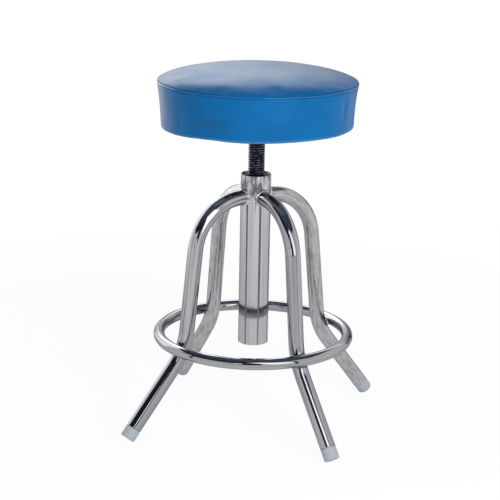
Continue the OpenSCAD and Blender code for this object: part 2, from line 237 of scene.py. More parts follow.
def hung_card(name, finish, bearing, distance, middle, width, height, lean=90, slant=0):
    """A card at a bearing, distance and height that faces the stool and only mirrors see."""
    work = bmesh.new()
    bmesh.ops.create_grid(work, x_segments=1, y_segments=1, size=0.5)
    for vert in work.verts:
        vert.co.x = vert.co.x * width + (vert.co.y + 0.5) * slant
        vert.co.y *= height
    turn = math.radians(bearing)
    place = Matrix.Translation((distance * math.cos(turn), distance * math.sin(turn), middle))
    face_in = Matrix.Rotation(turn - math.radians(90), 4, "Z")
    leaned = Matrix.Rotation(math.radians(lean), 4, "X")
    bmesh.ops.transform(work, matrix=place @ face_in @ leaned, verts=work.verts)
    mesh = bpy.data.meshes.new(name)
    work.to_mesh(mesh)
    work.free()
    mesh.materials.append(finish)
    card = bpy.data.objects.new(name, mesh)
    card.visible_camera = False
    card.visible_diffuse = False
    card.visible_shadow = False
    bpy.context.scene.collection.objects.link(card)


# The ceiling falls dark towards its edges
ceiling_card = card_finish("dark_ceiling_paint", ceiling_paint, 1.0)
ceiling = ceiling_card.node_tree
ceiling_out = spread(ceiling, from_axis(ceiling), ceiling_darkens_from, ceiling_darkens_to)
ceiling_tones = blend(ceiling, ceiling_out, ceiling_paint, ceiling_edge_paint)
fill_sockets(ceiling, ceiling.nodes["Emission"], {"Color": ceiling_tones})

# The backdrop is lit more strongly on the left, and most in a band above the seat.
# The curve ends at 1, so it holds half of each share.
backdrop_paper = card_finish("lit_backdrop_paper", white, backdrop_left)
backdrop = backdrop_paper.node_tree
backdrop_place = add_node(backdrop, "SeparateXYZ", {0: own_place(backdrop)}).outputs
backdrop_light = spread(
    backdrop, backdrop_place["X"], backdrop_left_end, backdrop_right_end,
    low=backdrop_left, high=backdrop_right, interpolation_type="SMOOTHSTEP",
)
backdrop_up = combined(backdrop, "DIVIDE", backdrop_place["Z"], backdrop_top)
backdrop_band = add_node(backdrop, "FloatCurve", {"Value": backdrop_up})
band_curve = backdrop_band.mapping.curves[0]
band_curve.points[0].location = (0.0, backdrop_shares[0][1] / 2)
band_curve.points[1].location = (1.0, backdrop_shares[-1][1] / 2)
for height, share in backdrop_shares:
    band_curve.points.new(height / backdrop_top, share / 2)
backdrop_band.mapping.update()
band_light = combined(backdrop, "MULTIPLY", backdrop_light, backdrop_band.outputs["Value"])
fill_sockets(backdrop, backdrop.nodes["Emission"], {"Strength": band_light})

left_backdrop_paper = card_finish("lit_left_backdrop_paper", white, left_backdrop_strength)
lamp_screen = card_finish("lit_lamp_screen", white, screen_strength)
strip_card = card_finish("black_strip_paint", strip_paint, 1.0)

# Each card's bearing, its distance, the height of its middle, its width and its height
hung_card("backdrop", backdrop_paper, 104, 2.4, 2.05, 6.0, 4.1)
hung_card("backdrop_left", left_backdrop_paper, 152, 2.2, 1.6, 1.5, 3.2)
hung_card("ceiling", ceiling_card, -122, 1.4, 1.7, 3.25, 4.4, lean=0)
hung_card("ceiling_right", ceiling_card, 30, 0.8, 1.69, 2.0, 1.6, lean=0)
hung_card("front_strip", strip_card, -81, 2.7, 1.22, 1.3, 1.95)
hung_card("ceiling_edge", strip_card, -132, 2.2, 1.55, 3.2, 0.42)
hung_card("lamp_screen", lamp_screen, -42, 1.25, 1.0, 0.6, 1.3, slant=0.85)
hung_card("low_screen", lamp_screen, -91.5, 0.85, 0.37, 0.10, 0.12)
hung_card("low_strip", strip_card, -79, 0.81, 0.22, 0.06, 0.10)
hung_card("strip_left", strip_card, -141, 0.62, 0.25, 0.04, 0.5)
hung_card("strip_right", strip_card, -34, 0.62, 0.25, 0.04, 0.5)
hung_card("strip_rear_left", strip_card, 120, 0.62, 0.25, 0.04, 0.5)
hung_card("strip_rear_right", strip_card, 60, 0.62, 0.25, 0.04, 0.5)


# Centre tube. Polished stainless tube, 50.8 mm across with a 1.6 mm wall, sawn
# to length and its ends lightly broken by hand. It carries the legs and nut.
tube_r = 25.4 * millimetre
tube_bore_r = 23.8 * millimetre
tube_bottom = 136 * millimetre
tube_top = 428 * millimetre
tube_edge = 0.4 * millimetre
tube_sides = 128

steel_colour = (0.455, 0.455, 0.485, 1)
steel_streak = (0.305, 0.305, 0.33, 1)
steel_pit = (0.12, 0.12, 0.13, 1)
steel_edge_tint = (0.62, 0.62, 0.64, 1)
drawn_scale = (420, 420, 5)
wide_scale = (110, 110, 2.5)
pit_scale = 95.0
pit_patch_scale = 38.0
wear_scale = 22.0


def grain(tree, place, scale, detail, roughness=0.5, distortion=0.0):
    """A cloudy pattern, drawn out along an axis where its scale is three numbers."""
    if isinstance(scale, tuple):
        place = add_node(tree, "Mapping", {"Vector": place, "Scale": scale}).outputs[0]
        scale = 1.0
    values = {"Vector": place, "Scale": scale, "Detail": detail, "Roughness": roughness}
    values["Distortion"] = distortion
    return add_node(tree, "TexNoise", values).outputs["Fac"]


def cells(tree, place, scale):
    """How far a point lies from the middle of its cell, in a pattern of uneven cells."""
    return add_node(tree, "TexVoronoi", {"Vector": place, "Scale": scale}).outputs["Distance"]


def bump(tree, height, strength, distance, over=None):
    """Small bumps that follow a pattern, over other bumps where they are given."""
    values = {"Height": height, "Strength": strength, "Distance": distance}
    if over is not None:
        values["Normal"] = over
    return add_node(tree, "Bump", values).outputs["Normal"]


def dress(tree, values):
    """Puts the values on a finish's shader."""
    fill_sockets(tree, tree.nodes["Principled BSDF"], values)


polished_steel, steel = new_finish("polished_steel_tube")
# The tube's own straight length and round, kept on its mesh through each bend
steel_place = add_node(steel, "Attribute", attribute_name="on_tube").outputs["Vector"]
drawn = grain(steel, steel_place, drawn_scale, 4.0, 0.6)
wide = grain(steel, steel_place, wide_scale, 2.0)
streaks = spread(steel, combined(steel, "MULTIPLY", drawn, wide), 0.17, 0.31)
# Sparse small pits and scuffs, as on a stool that has been in use
pit_shape = spread(steel, cells(steel, steel_place, pit_scale), 0.03, 0.07)
pit_where = spread(steel, grain(steel, steel_place, pit_patch_scale, 1.0), 0.57, 0.53)
no_pit = combined(steel, "MAXIMUM", pit_shape, pit_where)
streaked = blend(steel, streaks, steel_streak, steel_colour)
handled = grain(steel, steel_place, wear_scale, 3.0)
drawn_bump = bump(steel, drawn, 0.25, 0.06 * millimetre)
dress(steel, {
    "Metallic": 1.0,
    "Specular Tint": steel_edge_tint,
    "Base Color": blend(steel, no_pit, steel_pit, streaked),
    "Roughness": spread(steel, handled, 0.3, 0.75, low=0.05, high=0.14),
    "Normal": bump(steel, wide, 0.5, 0.3 * millimetre, over=drawn_bump),
})


# The centre tube's own steel, blotched by the heat of the welds and by grinding
# round its collar, with painted shade that makes it near black inside its bore
post_light = (0.63, 0.63, 0.665, 1)
post_lightened = 0.4
# Painted shade inside the bore
bore_painted_shade = (0.022, 0.026, 0.025, 1)
bore_roughness = 0.6
bore_light_to = 24.7 * millimetre
bore_shade_from = 24.0 * millimetre
heat_dark = (0.09, 0.09, 0.105, 1)
heat_bright = (0.62, 0.61, 0.63, 1)
heat_scale = (170, 170, 45)
heat_share = 0.85
collar_from = 383 * millimetre
collar_to = 398 * millimetre

post_steel = polished_steel.copy()
post_steel.name = "heat_marked_steel_tube"
post = post_steel.node_tree
post_shader = post.nodes["Principled BSDF"]
post_tone = post_shader.inputs["Base Color"].links[0].from_socket
post_gloss = post_shader.inputs["Roughness"].links[0].from_socket
post_lighter = blend(post, post_lightened, post_tone, post_light)
post_place = own_place(post)
post_heights = add_node(post, "SeparateXYZ", {0: post_place})
collar_share = spread(post, post_heights.outputs["Z"], collar_from, collar_to)
heat_patches = grain(post, post_place, heat_scale, 3.0, 0.6)
heat_tones = blend(post, spread(post, heat_patches, 0.42, 0.58), heat_dark, heat_bright)
heat_most = combined(post, "MULTIPLY", collar_share, heat_share)
collar_colours = blend(post, heat_most, post_lighter, heat_tones)
collar_gloss = spread(post, heat_patches, 0.35, 0.65, low=0.12, high=0.42)
post_glosses = mixed(post, collar_share, post_gloss, collar_gloss)
bore_shade_share = spread(post, from_axis(post), bore_light_to, bore_shade_from)
dress(post, {
    "Base Color": blend(post, bore_shade_share, collar_colours, bore_painted_shade),
    "Roughness": mixed(post, bore_shade_share, post_glosses, bore_roughness),
})


def turned(outline, sides):
    """A solid of revolution about the upright axis, from points of radius and height."""
    work = bmesh.new()
    corners = [work.verts.new((radius, 0, height)) for radius, height in outline]
    on_axis = outline[0][0] == 0 and outline[-1][0] == 0
    joins = [work.edges.new(pair) for pair in zip(corners, corners[1:])]
    if not on_axis:
        joins.append(work.edges.new((corners[-1], corners[0])))
    bmesh.ops.spin(
        work, geom=corners + joins, cent=(0, 0, 0), axis=(0, 0, 1), angle=math.tau,
        steps=sides, use_merge=True,
    )
    bmesh.ops.remove_doubles(work, verts=work.verts, dist=1e-6)
    return work


def shown_piece(name, work, finish, sharp=35):
    """The finished piece: faces out, smooth but for its sharp corners, with its finish."""
    bmesh.ops.recalc_face_normals(work, faces=work.faces)
    for face in work.faces:
        face.smooth = True
    for edge in work.edges:
        inside = len(edge.link_faces) == 2
        edge.smooth = inside and edge.calc_face_angle() < math.radians(sharp)
    mesh = bpy.data.meshes.new(name)
    work.to_mesh(mesh)
    work.free()
    mesh.materials.append(finish)
    piece = bpy.data.objects.new(name, mesh)
    bpy.context.scene.collection.objects.link(piece)
    return piece


tube_work = turned(
    [
        (tube_bore_r, tube_bottom + tube_edge),
        (tube_bore_r + tube_edge, tube_bottom),
        (tube_r - tube_edge, tube_bottom),
        (tube_r, tube_bottom + tube_edge),
        (tube_r, tube_top - tube_edge),
        (tube_r - tube_edge, tube_top),
        (tube_bore_r + tube_edge, tube_top),
        (tube_bore_r, tube_top - tube_edge),
    ],
    tube_sides,
)
tube_place = tube_work.verts.layers.float_vector.new("on_tube")
for vert in tube_work.verts:
    vert[tube_place] = vert.co
centre_post = shown_piece("polished_centre_tube", tube_work, post_steel)
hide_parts("centre_tube")
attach(centre_post, "frame")


# Legs. Four lengths of inch tube, each bent twice on a tube bender, their top
# ends cut hollow to fit the centre tube and welded there.
leg_r = 12.7 * millimetre
leg_wall = 1.2 * millimetre
leg_top = 390 * millimetre
leg_sides = 64
knee_bend = 88 * millimetre
knee_start = Vector((27.70, 0, 390.0)) * millimetre
knee_centre = Vector((27.70, 0, 302.0)) * millimetre
knee_end = Vector((115.16, 0, 311.70)) * millimetre
shin_bend = 110 * millimetre
shin_start = Vector((130.48, 0, 173.63)) * millimetre
shin_centre = Vector((239.81, 0, 185.75)) * millimetre
tube_end = Vector((229.82, 0, 22.00)) * millimetre
leg_lean = math.radians(6.3274)
foot_splay = math.radians(38.6)
knee_steps = 30
shin_steps = 14
leg_bearings = {
    "front_right": -45,
    "rear_right": 45,
    "rear_left": 135,
    "front_left": 225,
}

# The rear legs' polish has gone hazy and blotched
haze_light = (0.51, 0.495, 0.51, 1)
haze_dark = (0.33, 0.32, 0.335, 1)
haze_scale = (300, 300, 60)

hazed_steel = polished_steel.copy()
hazed_steel.name = "hazed_steel_tube"
haze = hazed_steel.node_tree
haze_place = add_node(haze, "Attribute", attribute_name="on_tube").outputs["Vector"]
haze_patches = grain(haze, haze_place, haze_scale, 5.0, 0.6)
dress(haze, {
    "Base Color": blend(haze, spread(haze, haze_patches, 0.36, 0.56), haze_dark, haze_light),
    "Roughness": spread(haze, haze_patches, low=0.16, high=0.30),
})


def turn_all(work, degrees, axis):
    """Turns the whole of a bmesh about one of the three axes."""
    turn = Matrix.Rotation(math.radians(degrees), 3, axis)
    bmesh.ops.rotate(work, cent=(0, 0, 0), matrix=turn, verts=work.verts)


def last_ring(work, sides):
    """The corners of the tube's last ring and the edges between them."""
    work.verts.ensure_lookup_table()
    last = list(work.verts[-sides:])
    return last, [edge for edge in work.edges if all(vert in last for vert in edge.verts)]


def bend_on(work, sides, centre, axis, angle, steps):
    """Carries the tube's last ring round a bend."""
    last, ring = last_ring(work, sides)
    bmesh.ops.spin(
        work, geom=last + ring, cent=centre, axis=axis, angle=angle, steps=steps, use_merge=False
    )


def run_on(work, sides, move):
    """Carries the tube's last ring straight on."""
    _, ring = last_ring(work, sides)
    grown = bmesh.ops.extrude_edge_only(work, edges=ring)["geom"]
    new = [item for item in grown if isinstance(item, bmesh.types.BMVert)]
    bmesh.ops.translate(work, vec=move, verts=new)


def bent_leg(bearing):
    """One leg in its upright plane, turned to its bearing, with its place along the tube."""
    work = bmesh.new()
    on_tube = work.verts.layers.float_vector.new("on_tube")
    bmesh.ops.create_circle(work, cap_ends=False, segments=leg_sides, radius=leg_r)
    for vert in work.verts:
        vert[on_tube] = vert.co
    turn_all(work, 90, "Y")
    bmesh.ops.translate(work, vec=(tube_r, 0, leg_top), verts=work.verts)
    run_on(work, leg_sides, knee_start - Vector((tube_r, 0, leg_top)))
    knee_angle = math.radians(90) - leg_lean
    bend_on(work, leg_sides, knee_centre, (0, 1, 0), knee_angle, knee_steps)
    run_on(work, leg_sides, shin_start - knee_end)
    shin_angle = foot_splay - leg_lean
    bend_on(work, leg_sides, shin_centre, (0, -1, 0), shin_angle, shin_steps)
    shin_end = shin_centre + shin_bend * Vector((-math.cos(foot_splay), 0, -math.sin(foot_splay)))
    run_on(work, leg_sides, tube_end - shin_end)
    marks = [0, knee_start.x - tube_r]
    marks += [marks[-1] + knee_bend * knee_angle * (k + 1) / knee_steps for k in range(knee_steps)]
    marks.append(marks[-1] + (shin_start - knee_end).length)
    marks += [marks[-1] + shin_bend * shin_angle * (k + 1) / shin_steps for k in range(shin_steps)]
    marks.append(marks[-1] + (tube_end - shin_end).length)
    work.verts.ensure_lookup_table()
    for number, vert in enumerate(work.verts):
        round_x, round_y, _ = vert[on_tube]
        vert[on_tube] = (round_x, round_y, marks[number // leg_sides] + bearing / 360)
    # The hollow cut of the top end, which follows the centre tube
    for vert in work.verts[:leg_sides]:
        vert.co.x = math.sqrt(tube_r ** 2 - vert.co.y ** 2) - leg_wall / 4
    turn_all(work, bearing, "Z")
    return work


for corner, bearing in leg_bearings.items():
    leg_finish = hazed_steel if corner.startswith("rear") else polished_steel
    leg = shown_piece("bent_leg_" + corner, bent_leg(bearing), leg_finish)
    leg_shell = leg.modifiers.new("tube_wall", "SOLIDIFY")
    leg_shell.thickness = leg_wall
    leg_shell.offset = -1
    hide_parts("leg_" + corner)
    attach(leg, "frame")


# Welds at the hub. A bead of weld runs round each leg where it meets the
# centre tube. The metal froze in small ripples and kept a straw and blue tint.
hub_bead_r = 2.3 * millimetre
hub_bead_out = 0.2 * millimetre
hub_bead_inmost = 24.4 * millimetre
hub_ripples = 34
bead_sides = 14
bead_ripple = 0.24 * millimetre
ripple_steps = 5
slow_waves = 6
slow_swell = 1.6
weld_bright = (0.80, 0.79, 0.80, 1)
weld_straw = (0.50, 0.48, 0.46, 1)
weld_blue = (0.30, 0.32, 0.36, 1)
weld_tint_scale = 130.0
weld_grain_scale = 700.0

weld_metal, weld = new_finish("bright_weld_metal")
weld_place = own_place(weld)
weld_tints = add_node(weld, "ValToRGB", {"Fac": grain(weld, weld_place, weld_tint_scale, 2.0)})
tint_stops = weld_tints.color_ramp.elements
tint_stops[0].position = 0.36
tint_stops[0].color = weld_blue
tint_stops[1].position = 0.56
tint_stops[1].color = weld_bright
tint_stops.new(0.45).color = weld_straw
weld_grain = grain(weld, weld_place, weld_grain_scale, 3.0)
dress(weld, {
    "Metallic": 1.0,
    "Base Color": weld_tints.outputs["Color"],
    "Roughness": spread(weld, weld_grain, low=0.12, high=0.4),
    "Normal": bump(weld, weld_grain, 0.4, 0.2 * millimetre),
})


def spin_round(work, axis, steps):
    """Spins the whole of a bmesh once round an axis, into a closed ring."""
    whole = list(work.verts) + list(work.edges)
    bmesh.ops.spin(
        work, geom=whole, cent=(0, 0, 0), axis=axis, angle=math.tau, steps=steps, use_merge=True
    )


def weld_bead(ring_r, bead_r, ripples, seed):
    """A rippled bead in a ring about the X axis, in a new bmesh."""
    work = bmesh.new()
    bmesh.ops.create_circle(work, cap_ends=False, segments=bead_sides, radius=bead_r)
    turn_all(work, 90, "Y")
    turn_all(work, 90, "Z")
    bmesh.ops.translate(work, vec=(0, 0, ring_r), verts=work.verts)
    spin_round(work, (1, 0, 0), ripples * ripple_steps)
    bmesh.ops.recalc_face_normals(work, faces=work.faces)
    work.normal_update()
    hand = random.Random(seed)
    swell = [hand.uniform(-1, 1) for _ in range(slow_waves)]
    for vert in work.verts:
        turn = math.atan2(vert.co.y, vert.co.z)
        slow = sum(size * math.sin((k + 2) * turn + k) for k, size in enumerate(swell)) / slow_waves
        vert.co += vert.normal * bead_ripple * (math.sin(ripples * turn) + slow_swell * slow)
    return work


def gathered_piece(name, parts, finish):
    """Several like bmeshes as one piece."""
    whole = bmesh.new()
    for part in parts:
        bmesh.ops.recalc_face_normals(part, faces=part.faces)
        mesh = bpy.data.meshes.new("part")
        part.to_mesh(mesh)
        part.free()
        whole.from_mesh(mesh)
        bpy.data.meshes.remove(mesh)
    return shown_piece(name, whole, finish)


hub_parts = []
for bearing in leg_bearings.values():
    bead = weld_bead(leg_r + hub_bead_out, hub_bead_r, hub_ripples, bearing)
    for vert in bead.verts:
        reach = min(abs(vert.co.y), tube_r)
        vert.co.x += math.sqrt(tube_r ** 2 - reach ** 2) + hub_bead_out
        # The guide bush runs in the bore, so the bead stays within the tube's wall
        inmost = math.sqrt(max(0, hub_bead_inmost ** 2 - vert.co.y ** 2))
        vert.co.x = max(vert.co.x, inmost)
    bmesh.ops.translate(bead, vec=(0, 0, leg_top), verts=bead.verts)
    turn_all(bead, bearing, "Z")
    hub_parts.append(bead)
hub_beads = gathered_piece("weld_beads_at_hub", hub_parts, weld_metal)
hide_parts("hub_welds")
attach(hub_beads, "frame")


# Foot plugs. A pale blue-grey plastic plug is pushed into the lower end of
# each leg. Its head is as wide as the tube and its foot is worn flat.
plug_head = 20 * millimetre
plug_shank = 18 * millimetre
plug_round = 2.2 * millimetre
plug_gap = 0.6 * millimetre
plug_shank_r = 11.3 * millimetre
foot_end = Vector((242.30, 0, 6.37)) * millimetre
plug_sides = 64
plug_colour = (0.43, 0.475, 0.53, 1)
plug_scuffed = (0.30, 0.32, 0.36, 1)
plug_grime_scale = 260.0
plug_grime_height = 12 * millimetre

plug_plastic, plastic = new_finish("pale_plug_plastic")
plug_place = own_place(plastic)
plug_heights = add_node(plastic, "SeparateXYZ", {0: plug_place}).outputs["Z"]
plug_grime = grain(plastic, plug_place, plug_grime_scale, 4.0)
plug_low = spread(plastic, plug_heights, 0.0, plug_grime_height, low=0.75, high=0.12)
plug_worn = combined(plastic, "MULTIPLY", plug_grime, plug_low)
dress(plastic, {
    "Base Color": blend(plastic, plug_worn, plug_colour, plug_scuffed),
    "Roughness": spread(plastic, plug_grime, low=0.32, high=0.55),
    "Normal": bump(plastic, plug_grime, 0.2, 0.2 * millimetre),
})


def rounded_corner(centre_r, centre_z, radius, start, steps):
    """Points of radius and height round a quarter circle, from an angle in degrees."""
    angles = [math.radians(start + 90 * k / steps) for k in range(steps + 1)]
    return [
        (centre_r + radius * math.cos(a), centre_z + radius * math.sin(a)) for a in angles
    ]


plug_outline = [(0, 0)]
plug_outline += rounded_corner(leg_r - plug_round, plug_round, plug_round, -90, 5)
plug_outline += [
    (leg_r, plug_head - 2 * plug_gap),
    (leg_r - plug_gap, plug_head - plug_gap),
    (plug_shank_r, plug_head - plug_gap),
    (plug_shank_r, plug_head + plug_shank - plug_round),
    (plug_shank_r - plug_round, plug_head + plug_shank),
    (0, plug_head + plug_shank),
]
for corner, bearing in leg_bearings.items():
    plug_work = turned(plug_outline, plug_sides)
    lay_it = (
        Matrix.Rotation(math.radians(bearing), 4, "Z")
        @ Matrix.Translation(foot_end)
        @ Matrix.Rotation(-foot_splay, 4, "Y")
    )
    bmesh.ops.transform(plug_work, matrix=lay_it, verts=plug_work.verts)
    whole = list(plug_work.verts) + list(plug_work.edges) + list(plug_work.faces)
    bmesh.ops.bisect_plane(
        plug_work, geom=whole, plane_co=(0, 0, 0), plane_no=(0, 0, -1), clear_outer=True
    )
    worn_edges = [edge for edge in plug_work.edges if edge.is_boundary]
    bmesh.ops.holes_fill(plug_work, edges=worn_edges, sides=0)
    plug = shown_piece("pale_plug_" + corner, plug_work, plug_plastic)
    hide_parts("foot_plug_" + corner)
    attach(plug, "frame")


# Foot ring. A closed ring of 19 mm tube rests against the outside of the four
# lower bends. Its own joint is ground flush and lies behind a leg.
ring_tube_r = 9.5 * millimetre
ring_r = 159.74 * millimetre
ring_height = 150 * millimetre
ring_sides = 40
ring_steps = 256
ring_joint_bearing = 45

ring_work = bmesh.new()
ring_place = ring_work.verts.layers.float_vector.new("on_tube")
bmesh.ops.create_circle(ring_work, cap_ends=False, segments=ring_sides, radius=ring_tube_r)
for vert in ring_work.verts:
    vert[ring_place] = vert.co
turn_all(ring_work, 90, "X")
bmesh.ops.translate(ring_work, vec=(ring_r, 0, ring_height), verts=ring_work.verts)
turn_all(ring_work, ring_joint_bearing, "Z")
spin_round(ring_work, (0, 0, 1), ring_steps)
for vert in ring_work.verts:
    round_x, round_y, _ = vert[ring_place]
    turn = math.atan2(vert.co.y, vert.co.x) - math.radians(ring_joint_bearing)
    turn = abs((turn + math.pi) % math.tau - math.pi)
    vert[ring_place] = (round_x, round_y, ring_r * turn)
ring = shown_piece("polished_foot_ring", ring_work, polished_steel)
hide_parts("foot_ring")
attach(ring, "frame")

# The bead round each place where the ring touches a leg, in the narrow room
# between the two tubes
contact_out = (Vector((ring_r, 0, ring_height)) - shin_centre).normalized()
contact_place = Vector((ring_r, 0, ring_height)) + contact_out * ring_tube_r
contact_bead_ring = 5.6 * millimetre
contact_bead_r = 1.6 * millimetre
contact_ripples = 14

contact_parts = []
for bearing in leg_bearings.values():
    bead = weld_bead(contact_bead_ring, contact_bead_r, contact_ripples, bearing + 1)
    face_leg = Vector((1, 0, 0)).rotation_difference(contact_out).to_matrix().to_4x4()
    lay_it = (
        Matrix.Rotation(math.radians(bearing), 4, "Z")
        @ Matrix.Translation(contact_place)
        @ face_leg
    )
    bmesh.ops.transform(bead, matrix=lay_it, verts=bead.verts)
    contact_parts.append(bead)
ring_beads = gathered_piece("weld_beads_at_ring", contact_parts, weld_metal)
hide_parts("ring_welds")
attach(ring_beads, "frame")


# Nut. A heavy hexagon nut sits a millimetre down in the tube's mouth, dark
# with oil and darker still with painted shade from the mouth, and three bright tack
# welds hold it to the tube.
# Near black: the nut's oil together with the painted shade of the tube's mouth
nut_oil_and_painted_shade = (0.008, 0.010, 0.012, 1)
nut_rubbed = (0.060, 0.066, 0.066, 1)
nut_edge_tint = (0.2, 0.22, 0.24, 1)
nut_patch_scale = 180.0

nut_steel_oiled_and_shaded, nut_shader = new_finish("oiled_and_shaded_nut_steel")
nut_patches = grain(nut_shader, own_place(nut_shader), nut_patch_scale, 5.0)
dress(nut_shader, {
    "Metallic": 0.7,
    "Specular Tint": nut_edge_tint,
    "Specular IOR Level": 0.2,
    "Base Color": blend(nut_shader, spread(nut_shader, nut_patches, 0.42, 0.7), nut_oil_and_painted_shade, nut_rubbed),
    "Roughness": spread(nut_shader, nut_patches, low=0.25, high=0.55),
    "Normal": bump(nut_shader, nut_patches, 0.3, 0.3 * millimetre),
})


def give_finish(node, finish):
    """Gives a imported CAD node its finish."""
    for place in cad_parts[node].material_slots:
        place.material = finish


give_finish("screw_nut", nut_steel_oiled_and_shaded)
give_finish("nut_welds", weld_metal)


# Screw. A 28 mm trapezoid thread with a 4 mm pitch, turned from solid bar and
# blackened. Its crests are worn bright where they run through the nut, and their
# pale colour also paints on the glints of light along them.
screw_crest_r = 14 * millimetre
screw_root_r = 12 * millimetre
screw_pitch = 4 * millimetre
screw_foot = 282 * millimetre
screw_head = 510.4 * millimetre
thread_start = 284 * millimetre
thread_turns = 51
turn_steps = 36
fade_turns = 1
screw_shank = 20 * millimetre
thread_root_ease = 0.06 * millimetre
thread_crest_ease = 0.12 * millimetre
core_inset = 0.05 * millimetre
screw_black = (0.012, 0.015, 0.026, 1)
screw_worn_and_glint = (0.27, 0.29, 0.33, 1)
screw_mark_scale = 240.0
crest_wear_and_glint_from = 13.6 * millimetre
crest_wear_and_glint_to = 14.1 * millimetre

black_steel, black = new_finish("blackened_screw_steel")
black_crest = spread(black, from_axis(black), crest_wear_and_glint_from, crest_wear_and_glint_to)
black_marks = grain(black, own_place(black), screw_mark_scale, 4.0)
# Paler crests: wear together with painted glints
black_crest_wear_and_glint = combined(black, "MULTIPLY", black_crest, spread(black, black_marks, 0.42, 0.62))
dress(black, {
    "Metallic": 0.85,
    "Base Color": blend(black, black_crest_wear_and_glint, screw_black, screw_worn_and_glint),
    "Roughness": spread(black, black_marks, low=0.22, high=0.5),
    "Normal": bump(black, black_marks, 0.25, 0.2 * millimetre),
})

# One pitch of the thread: flank, crest, flank and root, with eased corners
thread_outline = [
    (screw_root_r, 0.00),
    (screw_root_r + thread_root_ease, 0.12),
    (screw_crest_r - thread_crest_ease, 0.92),
    (screw_crest_r, 1.12),
    (screw_crest_r, 1.88),
    (screw_crest_r - thread_crest_ease, 2.08),
    (screw_root_r + thread_root_ease, 2.88),
    (screw_root_r, 3.00),
    (screw_root_r, 4.00),
]
screw_work = bmesh.new()
thread_corners = [
    screw_work.verts.new((radius, 0, thread_start + height * millimetre))
    for radius, height in thread_outline
]
thread_joins = [screw_work.edges.new(pair) for pair in zip(thread_corners, thread_corners[1:])]
thread_steps = (thread_turns - 1) * turn_steps
bmesh.ops.spin(
    screw_work, geom=thread_corners + thread_joins, cent=(0, 0, 0), axis=(0, 0, 1),
    angle=math.tau * (thread_turns - 1), steps=thread_steps,
    dvec=(0, 0, screw_pitch / turn_steps), use_merge=False,
)
# The thread runs out into its core over the first and the last turn
fade_steps = fade_turns * turn_steps
for number, vert in enumerate(screw_work.verts):
    step = number // len(thread_outline)
    grown = min(1, step / fade_steps, (thread_steps - step) / fade_steps)
    radius = math.hypot(vert.co.x, vert.co.y)
    kept = screw_root_r + (radius - screw_root_r) * grown
    vert.co.x *= kept / radius
    vert.co.y *= kept / radius
bmesh.ops.remove_doubles(screw_work, verts=screw_work.verts, dist=1e-6)
screw_core = turned(
    [
        (0, screw_foot),
        (screw_root_r - core_inset, screw_foot),
        (screw_root_r - core_inset, screw_head - screw_shank),
        (screw_crest_r, screw_head - screw_shank),
        (screw_crest_r, screw_head),
        (0, screw_head),
    ],
    turn_steps,
)
screw = gathered_piece("blackened_lift_screw", [screw_work, screw_core], black_steel)
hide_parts("screw")
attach(screw, "seat")


# Stop and guide. Inside the tube a shoulder bolt holds the stop washer on the
# screw's end and carries a nylon bush that keeps the screw in the middle.
zinc_bright = (0.56, 0.57, 0.60, 1)
zinc_dull = (0.40, 0.41, 0.43, 1)
zinc_cell_scale = 500.0
nylon_white = (0.74, 0.72, 0.65, 1)
nylon_greasy = (0.48, 0.45, 0.38, 1)
nylon_grease_scale = 90.0

zinc_steel, zinc = new_finish("zinc_plated_steel")
zinc_cells = cells(zinc, own_place(zinc), zinc_cell_scale)
dress(zinc, {
    "Metallic": 1.0,
    "Base Color": blend(zinc, zinc_cells, zinc_bright, zinc_dull),
    "Roughness": spread(zinc, zinc_cells, low=0.28, high=0.5),
})

nylon, bush = new_finish("guide_nylon")
bush_grease = grain(bush, own_place(bush), nylon_grease_scale, 4.0)
dress(bush, {
    "Roughness": 0.42,
    "Base Color": blend(bush, spread(bush, bush_grease, 0.45, 0.75), nylon_white, nylon_greasy),
})

give_finish("stop_washer", zinc_steel)
give_finish("stop_bolt", zinc_steel)
give_finish("guide_bush", nylon)


# Seat carrier. A boss welded to a round plate holds the screw's top. Four
# zinc-plated bolts with washers hold the plate to tee nuts in the board.
carrier_black = (0.028, 0.029, 0.032, 1)
carrier_rubbed = (0.075, 0.075, 0.08, 1)
carrier_skin_scale = 320.0

carrier_paint, carrier = new_finish("carrier_paint")
carrier_skin = grain(carrier, own_place(carrier), carrier_skin_scale, 3.0)
dress(carrier, {
    "Base Color": blend(carrier, carrier_skin, carrier_black, carrier_rubbed),
    "Roughness": spread(carrier, carrier_skin, low=0.3, high=0.5),
    "Normal": bump(carrier, carrier_skin, 0.25, 0.2 * millimetre),
})

give_finish("seat_flange", carrier_paint)
for fastener in ("bolt_washers", "seat_bolts", "tee_nuts"):
    give_finish(fastener, zinc_steel)


# Seat board. A disc of plywood, painted grey-blue underneath by brush, so that
# the grain of its outer ply still shows through.
board_paint_thick = (0.260, 0.310, 0.350, 1)
board_paint_thin = (0.360, 0.410, 0.440, 1)
board_grain_scale = (12, 160, 160)

board_paint, board = new_finish("painted_plywood")
board_lines = grain(board, own_place(board), board_grain_scale, 5.0, distortion=0.6)
board_share = spread(board, board_lines, 0.38, 0.68)
dress(board, {
    "Base Color": blend(board, board_share, board_paint_thick, board_paint_thin),
    "Roughness": 0.62,
    "Normal": bump(board, board_lines, 0.3, 0.4 * millimetre),
})
give_finish("seat_board", board_paint)


